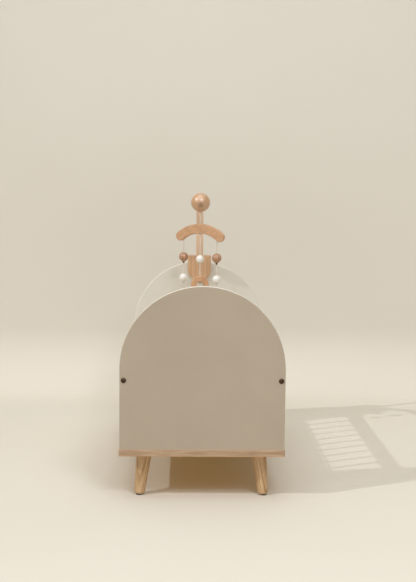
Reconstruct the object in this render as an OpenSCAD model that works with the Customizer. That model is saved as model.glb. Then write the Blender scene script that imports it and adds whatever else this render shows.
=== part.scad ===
// Doll's bassinet with a hook-on bead mobile.
// Two arched boards stand on a plywood base, spindle sides join them, and four splayed legs
// carry the base. The mobile's post straddles the head-end board and lifts off.
// Millimetres. +X is the right side and +Y the head end, seen from the foot end.
// The origin is on the floor, under the middle of the whole outline.

/* [End panels] */
// Width of the two end panels
body_w = 280; // [250:5:320]
// Length over the outer faces of the end panels
body_l = 580; // [500:10:680]
// Thickness of an end panel
panel_t = 12; // [11:1:18]
// Height of a panel's straight sides, below its half-round top
panel_straight = 137; // [134:1:170]
// Rounding along a panel's edges
panel_round = 1; // [0.5:0.5:4]

/* [Base] */
// Thickness of the base board
base_t = 12; // [11:1:18]
// How far the base stands out past the panels
base_lip = 1; // [0:0.5:2]
// Rounding of the base's corners
base_corner = 3; // [1:0.5:8]

/* [Side rails] */
// Thickness of a side rail
rail_t = 14; // [12:1:18]
// Height of a side rail's section
rail_h = 24; // [20:1:30]
// Height of a rail's centre line above the base
rail_z = 118; // [104:1:120]
// Rounding along a rail's edges
rail_round = 3; // [1:0.5:4]
// Diameter of a spindle
spindle_d = 9; // [7:0.5:10]
// Depth of a spindle's seat in the rail and in the base
spindle_seat = 7; // [5:0.5:8]
// Distance between spindles, to the nearest whole number of them
spindle_pitch = 46; // [44:1:70]

/* [Connector bolts] */
// Diameter of a connector bolt
bolt_d = 5; // [4:0.5:6]
// Diameter of its head
bolt_head_d = 9; // [8:0.5:11]
// Height of its head
bolt_head_h = 2.7; // [2:0.1:3.5]
// Hexagon key size, across flats
bolt_key = 3; // [2.5:0.5:4]
// Depth of the key's socket
bolt_key_depth = 1.8; // [1:0.1:1.9]
// Diameter of a barrel nut
nut_d = 8; // [7.5:0.5:9]
// Distance from a rail's end to its barrel nut
nut_inset = 20; // [16:1:22]
// How far a bolt passes through its nut
bolt_end = 2; // [1:0.5:3]

/* [Panel screws and dowels] */
// Diameter of a panel screw
screw_d = 4; // [3:0.5:5]
// Diameter of its head
screw_head_d = 8; // [7:0.5:9]
// Height of its head
screw_head_h = 2.6; // [2:0.1:3]
// Length of a panel screw
screw_l = 38; // [32:1:48]
// Distance between the two screws of a panel
screw_span = 170; // [150:5:200]
// Diameter of a dowel
dowel_d = 6; // [5:0.5:7]
// Depth of a dowel in the base
dowel_base = 8; // [5:0.5:9]
// Depth of a dowel in the panel
dowel_panel = 16; // [10:1:22]
// Distance between the two dowels of a panel
dowel_span = 90; // [70:5:120]

/* [Legs] */
// Height of the base's underside above the floor
leg_h = 75; // [60:1:95]
// Diameter of a leg under the base
leg_top_d = 28; // [24:1:32]
// Diameter of a leg at its foot
leg_foot_d = 18.5; // [16:0.5:21]
// Rounding of the foot
leg_foot_round = 5; // [3:0.5:6]
// Outward lean of a leg, sideways and lengthways alike, in degrees
leg_splay = 6.4; // [4:0.1:8]
// Distance from the foot's centre to the panel's side and outer face
leg_inset = 33; // [28:1:45]
// Diameter of a foot pad
pad_d = 12; // [9:0.5:13]
// Thickness of a foot pad
pad_t = 2; // [1:0.5:4]
// Diameter of a leg's hanger bolt
leg_bolt_d = 6; // [5:0.5:7]
// Depth of a hanger bolt in its leg
leg_bolt_depth = 20; // [14:1:24]
// Diameter of a tee nut's barrel
tee_d = 8; // [7.8:0.1:9]
// Diameter of a tee nut's flange
tee_flange_d = 18; // [14:0.5:22]
// Thickness of a tee nut's flange
tee_flange_t = 1.2; // [0.8:0.1:2]

/* [Mattress] */
// Thickness of the mattress
mattress_t = 30; // [20:1:40]
// Clear space between the mattress and the rails and panels
mattress_gap = 1.5; // [1:0.1:4]
// Rounding of the mattress's corners
mattress_corner = 18; // [12:1:30]

/* [Mobile post] */
// How far to the right of the middle the mobile hooks on
mobile_x = 1.5; // [-4:0.5:4]
// Width of the post
post_w = 15; // [13:0.5:20]
// Thickness of the post and its plaque
post_t = 9; // [7:0.5:11]
// Width of the plaque, and of the hook's other parts
clip_w = 50; // [44:1:60]
// Height of the plaque
clip_h = 54; // [46:1:62]
// How far the plaque stands above the top of the panel
clip_rise = 13.5; // [11:0.5:18]
// Thickness of the hook's back plate
back_t = 9; // [6:0.5:12]
// Clearance between the hook and the panel
clip_fit = 0.3; // [0.3:0.05:0.6]
// Diameter of a clip screw
clip_screw_d = 4; // [3:0.5:4.5]
// Diameter of its countersunk head
clip_screw_head_d = 7.5; // [6:0.5:8]
// Depth of a clip screw in the post's plaque
clip_screw_bite = 6; // [4:0.5:6.5]
// Distance between the clip screws
clip_screw_span = 30; // [26:1:34]
// Rounding along the edges of the mobile's wooden parts
wood_round = 1.5; // [0.5:0.25:2]

/* [Mobile arm and ball] */
// Diameter of the ball
ball_d = 40; // [32:1:46]
// Height of the ball's centre above the top of the panel
ball_rise = 130.5; // [122:0.5:150]
// Distance from the post's face to the ball's centre
arm_reach = 66; // [64:1:80]
// Diameter of the arm
arm_d = 8; // [6:0.5:9]
// Depth of the arm in the ball
arm_seat = 12; // [8:1:14]
// Diameter of the cord holes in the ball and the hanger
cord_hole_d = 4.2; // [3.8:0.1:4.4]
// Depth of the cord holes
cord_hole_depth = 6; // [5:0.5:7]

/* [Hanger] */
// Distance from the ball down to the hanger
hanger_drop = 25; // [23:0.5:26.5]
// Outer radius of the hanger's arc
hanger_r = 85; // [82:1:90]
// Width of the hanger's band
hanger_band = 20; // [19.5:0.5:20.5]
// Angle that the hanger's arc turns through, in degrees
hanger_arc = 78; // [76:2:82]
// Thickness of the hanger
hanger_t = 9; // [7:0.5:10]
// Turn of the hanger about the upright, in degrees
hanger_yaw = -30; // [-40:1:40]
// Distance between the two side cords
strand_span = 80; // [72:1:82]

/* [Beads and pendant] */
// Diameter of a wooden bead
wood_bead_d = 20; // [16:1:22]
// Diameter of a white bead
white_bead_d = 17; // [14:1:19]
// Diameter of the hole through a bead or the pendant
bead_hole_d = 3.2; // [3:0.1:3.6]
// From a side cord's top to its wooden bead
wood_bead_drop = 38; // [30:0.5:48]
// From a side cord's top to its white bead
white_bead_drop = 82.5; // [78:0.5:86]
// From the centre cord's top to its bead
centre_bead_drop = 47.5; // [30:0.5:58]
// From the centre cord's top to the top of the pendant
pendant_drop = 83; // [80:0.5:86]
// Outer radius of the pendant's arch
pendant_r = 18.5; // [18:0.5:21]
// Width of the pendant's band
pendant_band = 11.8; // [11:0.2:12.8]
// Length of the pendant's straight legs
pendant_leg = 6; // [3:0.5:9]
// Thickness of the pendant
pendant_t = 10; // [7:0.5:12]

/* [Cords and knots] */
// Diameter of the cords
cord_d = 2.4; // [1.8:0.1:2.6]
// Diameter of a knot
knot_d = 6; // [5:0.1:6.4]
// Height of a knot
knot_h = 3.4; // [2.6:0.1:3.8]

/* [Hidden] */
$fn = 96;

greige = "#a99c88";
plywood = "#d3b48f";
beech = "#cfa277";
bronze = "#5a4a3c";
steel = "#b9bcc0";
cream = "#f1e9dc";
brown = "#a06f52";
white = "#f5efe6";

// Clearances
fit = 0.1;          // round a screw, dowel, spindle or arm in its hole
bolt_fit = 0.25;    // round a connector bolt, a barrel nut or a hanger bolt
soft_gap = 0.3;     // between the mattress and what it lies on
run_gap = 0.3;      // between parts that move on each other
skin = 1;           // least wood left under a blind hole
tee_rise = 0.5;     // from the base's underside up to a tee nut's barrel
overcut = 1;        // how far a cutter runs past a face

// Heights
base_top = leg_h + base_t;
arch_r = body_w / 2;
arch_z = base_top + panel_straight;
apex_z = arch_z + arch_r;
rail_mid_z = base_top + rail_z;
clip_top = apex_z + clip_rise;
ball_z = apex_z + ball_rise;

// The hook's back plate stands out behind, and the bolt heads in front
mid_y = (max(bolt_head_h, base_lip) - max(clip_fit + back_t, bolt_head_h)) / 2;
foot_out = mid_y - body_l / 2;
foot_in = foot_out + panel_t;
head_out = mid_y + body_l / 2;
head_in = head_out - panel_t;
post_face = head_in - clip_fit - post_t;
ball_y = post_face - arm_reach;
clip_grip = panel_t + 2 * clip_fit;
clip_screw_l = clip_screw_bite + clip_grip + back_t;

// Sides
rail_x = body_w / 2 - rail_t / 2;
rail_l = body_l - 2 * panel_t;
spindle_gaps = round(rail_l / spindle_pitch);
spindle_step = rail_l / spindle_gaps;
nut_l = rail_t - skin;

// Legs
leg_lean = tan(leg_splay);
foot_x = body_w / 2 - leg_inset;
foot_y = body_l / 2 - leg_inset;
leg_top_x = foot_x - leg_lean * (leg_h - pad_t);
leg_top_y = foot_y - leg_lean * (leg_h - pad_t);

// Mobile
hanger_top = ball_z - ball_d / 2 - hanger_drop;
hanger_mid_r = hanger_r - hanger_band / 2;
hanger_under_r = hanger_r - hanger_band;
cord_tuck = 0.9;    // how far a cord's top is inside its hole
pivot_z = ball_z - ball_d / 2 + cord_tuck;
tie_z = hanger_top - hanger_r + sqrt(pow(hanger_under_r, 2) - pow(strand_span / 2, 2)) + cord_tuck;
knot_seat = 0.1;    // between a bead and the knot under it
knot_round = knot_h * 0.4;

// Routes of the cords, down from where each one hangs
hanger_route = [
    [0, 0, 0], [0, 0, -3.5], [0, 0, -7], [0, 0, -10.5], [0, 0, -14], [0, 0, -17.5], [0, 0, -21],
    [0, 0, -24.5], [0, 0, -28], [0, 0, -31.5], [0, 0, -35], [0, 0, -38.5], [0, 0, -42],
    [0, 0, -45.5], [0, 0, -49], [0, 0, -52.5]
];
strand_route = [
    [0, 0, 0], [0, 0, -5], [0, 0, -10], [0, 0, -15], [0, 0, -20], [0, 0, -25], [0, 0, -30],
    [0, 0, -35], [0, 0, -40], [0, 0, -45], [0, 0, -50], [0, 0, -55], [0, 0, -60], [0, 0, -65],
    [0, 0, -70], [0, 0, -75], [0, 0, -80], [0, 0, -85], [0, 0, -90], [0, 0, -95], [0, 0, -100]
];
centre_route = [
    [0, 0, 0], [0, 0, -7], [0, 0, -14], [0, 0, -21], [0, 0, -28], [0, 0, -35], [0, 0, -42],
    [0, 0, -49], [0, 0, -56], [0, 0, -63], [0, 0, -70], [0, 0, -77], [0, 0, -84], [0, 0, -91],
    [0, 0, -98], [0, 0, -105]
];
cord_sides = 8;
hanger_cord_end = pivot_z + hanger_route[len(hanger_route) - 1][2];
centre_tie_z = hanger_cord_end - run_gap;

// ---- Shapes used by several parts ----

// Rectangle with round corners, centred
module rounded_rect(w, h, r) {
    square([w - 2 * r, h], center = true);
    square([w, h - 2 * r], center = true);
    for (x = [-1, 1])
        for (y = [-1, 1])
            translate([x * (w / 2 - r), y * (h / 2 - r)])
                circle(r);
}

// Half of that rectangle, for turning about its middle
module rim_profile(radius, t, r) {
    intersection() {
        rounded_rect(2 * radius, t, r);
        translate([0, -t / 2])
            square([radius, t]);
    }
}

// Half disc in the XZ plane with a rounded rim, centred on Y = 0, above Z = 0
module half_disc(radius, t, r) {
    rotate([90, 0, 0])
        rotate_extrude(angle = 180)
            rim_profile(radius, t, r);
}

// Upright bar of width w and thickness t, with rounded long edges
module upright_bar(w, t, r, h) {
    linear_extrude(h)
        rounded_rect(w, t, r);
}

// Cylinder along +Y from Y = 0
module rod_y(d, l) {
    rotate([-90, 0, 0])
        cylinder(d = d, h = l);
}

// Copies at both ends of the cot, turned about its middle
module both_ends() {
    translate([0, mid_y, 0])
        for (turn = [0, 180])
            rotate([0, 0, turn])
                children();
}

// Copies at the left and right
module both_sides(x) {
    for (side = [-1, 1])
        translate([side * x, 0, 0])
            children();
}

// Place of one leg's top. sx and sy are -1 or 1
module at_leg_top(sx, sy) {
    translate([sx * leg_top_x, mid_y + sy * leg_top_y, 0])
        children();
}

module all_leg_tops() {
    for (sx = [-1, 1])
        for (sy = [-1, 1])
            at_leg_top(sx, sy)
                children();
}

// ---- Base ----

// Screws up into the panels: shank and head, grown by gap
module panel_screw_shape(gap) {
    both_sides(screw_span / 2) {
        translate([0, -body_l / 2 + panel_t / 2, leg_h - overcut * sign(gap)])
            cylinder(d = screw_head_d + 2 * gap, h = screw_head_h + overcut * sign(gap));
        translate([0, -body_l / 2 + panel_t / 2, leg_h])
            cylinder(d = screw_d + 2 * gap, h = screw_l + gap);
    }
}

module panel_dowel_shape(gap) {
    both_sides(dowel_span / 2)
        translate([0, -body_l / 2 + panel_t / 2, base_top - dowel_base - gap])
            cylinder(d = dowel_d + 2 * gap, h = dowel_base + dowel_panel + 2 * gap);
}

// One side's spindles, grown by gap
module spindle_row(gap) {
    for (i = [1:spindle_gaps - 1])
        translate([0, foot_in + i * spindle_step, base_top - spindle_seat - gap])
            cylinder(d = spindle_d + 2 * gap, h = rail_z - rail_h / 2 + 2 * (spindle_seat + gap));
}

module base_board() {
    color(plywood)
        difference() {
            translate([0, mid_y, leg_h])
                linear_extrude(base_t)
                    rounded_rect(body_w + 2 * base_lip, body_l + 2 * base_lip, base_corner);
            both_ends() {
                panel_screw_shape(fit);
                panel_dowel_shape(fit);
            }
            both_sides(rail_x)
                spindle_row(fit);
            all_leg_tops() {
                translate([0, 0, leg_h - overcut])
                    cylinder(d = tee_d + 2 * fit, h = base_t + 2 * overcut);
                translate([0, 0, base_top - tee_flange_t - fit])
                    cylinder(d = tee_flange_d + 2 * fit, h = tee_flange_t + fit + overcut);
            }
        }
}

module panel_screws() {
    color(steel)
        both_ends()
            difference() {
                panel_screw_shape(0);
                both_sides(screw_span / 2)
                    translate([0, -body_l / 2 + panel_t / 2, leg_h - overcut])
                        cylinder(d = bolt_key / cos(30), h = bolt_key_depth + overcut, $fn = 6);
            }
}

module panel_dowels() {
    color(beech)
        both_ends()
            panel_dowel_shape(0);
}

// ---- End panels ----

// The arched board of the foot end, seen from the middle of the cot
module arched_board() {
    difference() {
        translate([0, -body_l / 2 + panel_t / 2, base_top]) {
            upright_bar(body_w, panel_t, panel_round, panel_straight);
            translate([0, 0, panel_straight])
                half_disc(arch_r, panel_t, panel_round);
        }
        both_sides(rail_x)
            translate([0, -body_l / 2 - overcut, rail_mid_z])
                rod_y(bolt_d + 2 * bolt_fit, panel_t + 2 * overcut);
        panel_screw_shape(fit);
        panel_dowel_shape(fit);
    }
}

module foot_end_panel() {
    color(greige)
        translate([0, mid_y, 0])
            arched_board();
}

module head_end_panel() {
    color(greige)
        translate([0, mid_y, 0])
            rotate([0, 0, 180])
                arched_board();
}

// ---- Side rails and spindles ----

// Connector bolt's shank from the panel's outer face into the rail, grown by gap
module bolt_shank(gap) {
    rod_y(bolt_d + 2 * gap, panel_t + nut_inset + nut_d / 2 + bolt_end + gap);
}

// Barrel nut's outline, let in from the rail's inner face. side is -1 or 1
module nut_shape(side, gap) {
    translate([side * (rail_t / 2 - skin), panel_t + nut_inset, 0])
        rotate([0, -side * 90, 0])
            cylinder(d = nut_d + 2 * gap, h = nut_l + overcut * sign(gap));
}

module side_rail(side) {
    color(beech)
        difference() {
            translate([side * rail_x, foot_in, rail_mid_z])
                rotate([-90, 0, 0])
                    linear_extrude(rail_l)
                        rounded_rect(rail_t, rail_h, rail_round);
            translate([side * rail_x, 0, 0])
                spindle_row(fit);
            translate([0, mid_y, 0])
                for (end = [0, 1])
                    translate([side * rail_x, 0, rail_mid_z])
                        mirror([0, end, 0])
                            translate([0, -body_l / 2, 0]) {
                                bolt_shank(bolt_fit);
                                nut_shape(side, fit);
                            }
        }
}

module left_side_rail() {
    side_rail(-1);
}

module right_side_rail() {
    side_rail(1);
}

module left_spindles() {
    color(beech)
        translate([-rail_x, 0, 0])
            spindle_row(0);
}

module right_spindles() {
    color(beech)
        translate([rail_x, 0, 0])
            spindle_row(0);
}

// Domed head with a hexagon socket, standing out of the panel towards -Y
module bolt_head() {
    rotate([90, 0, 0])
        difference() {
            rotate_extrude()
                intersection() {
                    square([bolt_head_d / 2, bolt_head_h]);
                    translate([0, bolt_head_h - head_dome_r()])
                        circle(head_dome_r());
                }
            translate([0, 0, bolt_head_h - bolt_key_depth])
                cylinder(d = bolt_key / cos(30), h = bolt_key_depth + overcut, $fn = 6);
        }
}

// Radius of the dome that leaves a straight rim a third as high as the head
function head_dome_r() =
    let (rise = bolt_head_h * 2 / 3)
    (pow(bolt_head_d / 2, 2) + pow(rise, 2)) / (2 * rise);

module end_bolts() {
    both_sides(rail_x)
        translate([0, -body_l / 2, rail_mid_z]) {
            bolt_head();
            bolt_shank(0);
        }
}

module foot_end_bolts() {
    color(bronze)
        translate([0, mid_y, 0])
            end_bolts();
}

module head_end_bolts() {
    color(bronze)
        translate([0, mid_y, 0])
            rotate([0, 0, 180])
                end_bolts();
}

module barrel_nuts() {
    color(steel)
        both_ends()
            for (side = [-1, 1])
                translate([side * rail_x, -body_l / 2, rail_mid_z])
                    difference() {
                        nut_shape(side, 0);
                        bolt_shank(fit);
                    }
}

// ---- Legs ----

// Tapered leg with a rounded foot, turned about Z, from below the pad's top to above the base
module leg_blank() {
    grow = (leg_top_d - leg_foot_d) / 2 / leg_h;
    rotate_extrude()
        union() {
            polygon([
                [0, leg_foot_round],
                [leg_foot_d / 2, leg_foot_round],
                [leg_foot_d / 2 + grow * leg_h * 1.2, leg_foot_round + leg_h * 1.2],
                [0, leg_foot_round + leg_h * 1.2]
            ]);
            square([leg_foot_d / 2 - leg_foot_round, leg_foot_round + overcut / 2]);
            intersection() {
                translate([leg_foot_d / 2 - leg_foot_round, leg_foot_round])
                    circle(leg_foot_round);
                square([leg_foot_d, leg_foot_round + overcut / 2]);
            }
        }
}

module leg(sx, sy) {
    color(beech)
        difference() {
            intersection() {
                translate([sx * foot_x, mid_y + sy * foot_y, pad_t / 2])
                    rotate([sy * leg_splay, -sx * leg_splay, 0])
                        leg_blank();
                translate([sx * foot_x - leg_h, mid_y + sy * foot_y - leg_h, pad_t])
                    cube([2 * leg_h, 2 * leg_h, leg_h - pad_t]);
            }
            at_leg_top(sx, sy)
                translate([0, 0, leg_h - leg_bolt_depth - fit])
                    cylinder(d = leg_bolt_d + 2 * fit, h = leg_bolt_depth + overcut);
        }
}

module foot_end_left_leg() {
    leg(-1, -1);
}

module foot_end_right_leg() {
    leg(1, -1);
}

module head_end_left_leg() {
    leg(-1, 1);
}

module head_end_right_leg() {
    leg(1, 1);
}

module leg_bolts() {
    color(steel)
        all_leg_tops()
            translate([0, 0, leg_h - leg_bolt_depth])
                cylinder(d = leg_bolt_d, h = leg_bolt_depth + base_t - tee_flange_t);
}

module leg_tee_nuts() {
    color(steel)
        all_leg_tops()
            difference() {
                union() {
                    translate([0, 0, leg_h + tee_rise])
                        cylinder(d = tee_d, h = base_t - tee_rise - tee_flange_t / 2);
                    translate([0, 0, base_top - tee_flange_t])
                        cylinder(d = tee_flange_d, h = tee_flange_t);
                }
                translate([0, 0, leg_h])
                    cylinder(d = leg_bolt_d + 2 * fit, h = base_t + overcut);
            }
}

module foot_pads() {
    color("#3b332c")
        for (sx = [-1, 1])
            for (sy = [-1, 1])
                translate([sx * foot_x, mid_y + sy * foot_y, 0])
                    cylinder(d = pad_d, h = pad_t);
}

// ---- Mattress ----

module mattress() {
    color(cream)
        translate([0, mid_y, base_top + soft_gap])
            linear_extrude(mattress_t)
                rounded_rect(
                    2 * (rail_x - max(spindle_d, rail_t) / 2 - mattress_gap),
                    rail_l - 2 * mattress_gap,
                    mattress_corner
                );
}

// ---- Mobile: post, hook, arm and ball ----

// The clip screws' places, on the post's face
module at_clip_screws() {
    both_sides(clip_screw_span / 2)
        translate([mobile_x, post_face + post_t - clip_screw_bite, apex_z + clip_rise / 2])
            children();
}

// Screw with a countersunk head flush with the back plate, grown by gap
module clip_screw_shape(gap) {
    cone = (clip_screw_head_d - clip_screw_d) / 2;
    rod_y(clip_screw_d + 2 * gap, clip_screw_l);
    translate([0, clip_screw_l - cone - gap, 0])
        rotate([-90, 0, 0])
            cylinder(d1 = clip_screw_d + 2 * gap, d2 = clip_screw_head_d + 2 * gap, h = cone + gap);
}

// U-shaped plate, its back on Y = 0 and its thickness towards +Y
module u_plate(t) {
    translate([mobile_x, t / 2, clip_top - clip_h + clip_w / 2]) {
        upright_bar(clip_w, t, wood_round, clip_h - clip_w / 2);
        rotate([0, 180, 0])
            half_disc(clip_w / 2, t, wood_round);
    }
}

module mobile_post() {
    color(beech)
        difference() {
            union() {
                translate([0, post_face, 0])
                    u_plate(post_t);
                translate([mobile_x, post_face + post_t / 2, clip_top])
                    upright_bar(post_w, post_t, wood_round, ball_z - clip_top);
                translate([mobile_x, post_face + post_t / 2, ball_z])
                    half_disc(post_w / 2, post_t, wood_round);
            }
            translate([mobile_x, post_face - overcut, ball_z])
                rod_y(arm_d + 2 * fit, post_t + 2 * overcut);
            at_clip_screws()
                rod_y(clip_screw_d + 2 * fit, clip_screw_bite + overcut);
        }
}

// Block between the plates. Its underside follows the panel's arched edge
module clip_spacer() {
    color(beech)
        difference() {
            translate([mobile_x - clip_w / 2, head_in - clip_fit, arch_z])
                cube([clip_w, clip_grip, clip_top - arch_z]);
            translate([0, head_in - clip_fit - overcut, arch_z])
                rod_y(2 * (arch_r + run_gap), clip_grip + 2 * overcut);
            at_clip_screws()
                rod_y(clip_screw_d + 2 * fit, clip_screw_l);
        }
}

module clip_back_plate() {
    color(beech)
        difference() {
            translate([0, head_out + clip_fit, 0])
                u_plate(back_t);
            at_clip_screws()
                clip_screw_shape(fit);
        }
}

module clip_screws() {
    color(steel)
        at_clip_screws()
            clip_screw_shape(0);
}

module mobile_arm() {
    color(beech)
        translate([mobile_x, ball_y + ball_d / 2 - arm_seat, ball_z])
            rod_y(arm_d, arm_reach - ball_d / 2 + arm_seat + post_t);
}

module mobile_ball() {
    color(beech)
        difference() {
            translate([mobile_x, ball_y, ball_z])
                sphere(d = ball_d);
            translate([mobile_x, ball_y + ball_d / 2 - arm_seat - fit, ball_z])
                rod_y(arm_d + 2 * fit, arm_seat + overcut);
            translate([mobile_x, ball_y, ball_z - ball_d / 2 - overcut])
                cylinder(d = cord_hole_d, h = cord_hole_depth + overcut);
        }
}

// ---- Hanger ----

// Places of what hangs from the hanger. side is -1, 0 or 1
module at_strand(side) {
    translate([mobile_x, ball_y, 0])
        rotate([0, 0, hanger_yaw])
            translate([side * strand_span / 2, 0, side == 0 ? centre_tie_z : tie_z])
                children();
}

// Ring of points about p, level, for a cord that hangs straight
function cord_ring(p) = [
    for (i = [0:cord_sides - 1])
        p + [cos(360 * i / cord_sides), sin(360 * i / cord_sides), 0] * cord_d / 2
];

// Tube swept along a route that runs downwards
module cord_tube(route) {
    last = len(route) - 1;
    points = [for (p = route) each cord_ring(p)];
    walls = [
        for (k = [0:last - 1])
            for (i = [0:cord_sides - 1])
                let (j = (i + 1) % cord_sides, a = k * cord_sides, b = a + cord_sides)
                [a + i, a + j, b + j, b + i]
    ];
    top = [for (i = [cord_sides - 1:-1:0]) i];
    bottom = [for (i = [0:cord_sides - 1]) last * cord_sides + i];
    polyhedron(points, concat([top], walls, [bottom]));
}

// Round knot with its top at Z = 0, round the cord
module knot() {
    translate([0, 0, -knot_h / 2])
        rotate_extrude()
            difference() {
                rounded_rect(knot_d, knot_h, knot_round);
                translate([-knot_d, -knot_h])
                    square([knot_d + cord_d / 2 + fit, 2 * knot_h]);
            }
}

module hanger_cord() {
    color(white)
        translate([mobile_x, ball_y, pivot_z])
            cord_tube(hanger_route);
}

module hanger_knot() {
    color(white)
        translate([mobile_x, ball_y, hanger_top - hanger_band - run_gap])
            knot();
}

module hanger_arch() {
    color(beech)
        translate([mobile_x, ball_y, hanger_top - hanger_r])
            rotate([0, 0, hanger_yaw])
                difference() {
                    rotate([90, 0, 0])
                        union() {
                            rotate([0, 0, 90 - hanger_arc / 2])
                                rotate_extrude(angle = hanger_arc)
                                    translate([hanger_mid_r, 0])
                                        rounded_rect(hanger_band, hanger_t, wood_round);
                            for (side = [-1, 1])
                                rotate([0, 0, 90 + side * hanger_arc / 2])
                                    translate([hanger_mid_r, 0, 0])
                                        rotate([0, 0, side > 0 ? 0 : 180])
                                            rotate_extrude(angle = 180)
                                                rim_profile(hanger_band / 2, hanger_t, wood_round);
                        }
                    translate([0, 0, hanger_under_r - hanger_band])
                        cylinder(d = cord_hole_d, h = 3 * hanger_band);
                    both_sides(strand_span / 2)
                        translate([0, 0, tie_z - cord_tuck - hanger_top + hanger_r - cord_hole_depth])
                            cylinder(d = cord_hole_d, h = 2 * cord_hole_depth);
                }
}

// ---- Beads and pendant ----

module bored_bead(d) {
    difference() {
        sphere(d = d);
        cylinder(d = bead_hole_d, h = 2 * d, center = true);
    }
}

// How far below a bead's centre its knot sits
function bead_seat(d) = sqrt(pow(d / 2, 2) - pow(bead_hole_d / 2, 2)) + knot_seat;

// How far below the crown of the pendant's opening its knot sits
function arch_seat() =
    let (r = pendant_r - pendant_band - knot_round)
    r - sqrt(pow(r, 2) - pow(knot_d / 2 - knot_round, 2)) + knot_seat;

module side_cord(side) {
    color(white)
        at_strand(side)
            cord_tube(strand_route);
}

module side_knots(side) {
    color(brown)
        at_strand(side) {
            translate([0, 0, -wood_bead_drop - bead_seat(wood_bead_d)])
                knot();
            translate([0, 0, -white_bead_drop - bead_seat(white_bead_d)])
                knot();
        }
}

module side_wood_bead(side) {
    color(brown)
        at_strand(side)
            translate([0, 0, -wood_bead_drop])
                bored_bead(wood_bead_d);
}

module side_white_bead(side) {
    color(white)
        at_strand(side)
            translate([0, 0, -white_bead_drop])
                bored_bead(white_bead_d);
}

module left_cord() {
    side_cord(-1);
}

module left_knots() {
    side_knots(-1);
}

module left_wood_bead() {
    side_wood_bead(-1);
}

module left_white_bead() {
    side_white_bead(-1);
}

module right_cord() {
    side_cord(1);
}

module right_knots() {
    side_knots(1);
}

module right_wood_bead() {
    side_wood_bead(1);
}

module right_white_bead() {
    side_white_bead(1);
}

module centre_cord() {
    color(white)
        at_strand(0)
            cord_tube(centre_route);
}

module centre_bead_knot() {
    color(white)
        at_strand(0)
            translate([0, 0, -centre_bead_drop - bead_seat(white_bead_d)])
                knot();
}

module pendant_knot() {
    color(white)
        at_strand(0)
            translate([0, 0, -pendant_drop - pendant_band - arch_seat()])
                knot();
}

module centre_white_bead() {
    color(white)
        at_strand(0)
            translate([0, 0, -centre_bead_drop])
                bored_bead(white_bead_d);
}

module arch_pendant() {
    mid_r = pendant_r - pendant_band / 2;
    color(beech)
        at_strand(0)
            rotate([0, 0, -hanger_yaw])
                translate([0, 0, -pendant_drop - pendant_r])
                    difference() {
                        union() {
                            rotate([90, 0, 0])
                                rotate_extrude(angle = 180)
                                    translate([mid_r, 0])
                                        rounded_rect(pendant_band, pendant_t, wood_round);
                            both_sides(mid_r)
                                translate([0, 0, -pendant_leg])
                                    upright_bar(pendant_band, pendant_t, wood_round, pendant_leg);
                        }
                        cylinder(d = bead_hole_d, h = 2 * pendant_r);
                    }
}

base_board();
foot_end_panel();
head_end_panel();
left_side_rail();
right_side_rail();
left_spindles();
right_spindles();
foot_end_bolts();
head_end_bolts();
barrel_nuts();
panel_screws();
panel_dowels();
foot_end_left_leg();
foot_end_right_leg();
head_end_left_leg();
head_end_right_leg();
leg_bolts();
leg_tee_nuts();
foot_pads();
mattress();
mobile_post();
clip_spacer();
clip_back_plate();
clip_screws();
mobile_arm();
mobile_ball();
hanger_cord();
hanger_knot();
hanger_arch();
left_cord();
left_knots();
left_wood_bead();
left_white_bead();
right_cord();
right_knots();
right_wood_bead();
right_white_bead();
centre_cord();
pendant_knot();
centre_bead_knot();
centre_white_bead();
arch_pendant();
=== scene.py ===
# Doll's bassinet with a hook-on bead mobile: camera, cords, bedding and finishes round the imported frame.
import math

import bpy
from mathutils import Matrix, Vector, kdtree, noise


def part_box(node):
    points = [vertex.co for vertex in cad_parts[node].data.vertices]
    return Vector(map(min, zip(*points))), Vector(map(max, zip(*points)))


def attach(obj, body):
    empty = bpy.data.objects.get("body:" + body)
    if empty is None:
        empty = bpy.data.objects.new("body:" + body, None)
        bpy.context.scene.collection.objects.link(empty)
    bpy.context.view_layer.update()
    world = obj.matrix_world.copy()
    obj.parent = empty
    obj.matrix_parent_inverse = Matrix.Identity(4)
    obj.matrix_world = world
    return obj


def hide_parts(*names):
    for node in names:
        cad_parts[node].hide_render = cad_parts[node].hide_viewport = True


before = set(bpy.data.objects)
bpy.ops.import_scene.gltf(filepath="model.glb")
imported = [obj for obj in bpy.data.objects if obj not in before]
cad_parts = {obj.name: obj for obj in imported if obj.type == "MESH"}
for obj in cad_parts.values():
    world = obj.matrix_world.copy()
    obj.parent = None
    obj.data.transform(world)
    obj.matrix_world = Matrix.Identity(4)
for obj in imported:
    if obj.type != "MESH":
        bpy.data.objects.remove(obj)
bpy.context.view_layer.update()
mm = 0.001


def rgb(code):
    # a hex colour as the linear values that a shader takes
    parts = [int(code[i:i + 2], 16) / 255 for i in (0, 2, 4)]
    return [c / 12.92 if c < 0.04045 else ((c + 0.055) / 1.055) ** 2.4 for c in parts] + [1.0]


def middle(node):
    low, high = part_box(node)
    return (Vector(low) + Vector(high)) / 2


def size(node):
    low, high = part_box(node)
    return Vector(high) - Vector(low)


def smooth(mesh):
    mesh.polygons.foreach_set("use_smooth", [True] * len(mesh.polygons))


def newPiece(name, mesh, body, material, replaced=()):
    piece = bpy.data.objects.new(name, mesh)
    bpy.context.collection.objects.link(piece)
    mesh.materials.append(material)
    smooth(mesh)
    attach(piece, body)
    if replaced:
        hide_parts(*replaced)
    return piece


def meshFrom(name, points, faces):
    mesh = bpy.data.meshes.new(name)
    mesh.from_pydata([tuple(p) for p in points], [], faces)
    mesh.validate()
    return mesh


def addShape(verts, faces, moreVerts, moreFaces):
    # put one more shape into the same lists
    faces.extend(tuple(i + len(verts) for i in face) for face in moreFaces)
    verts.extend(moreVerts)


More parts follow.
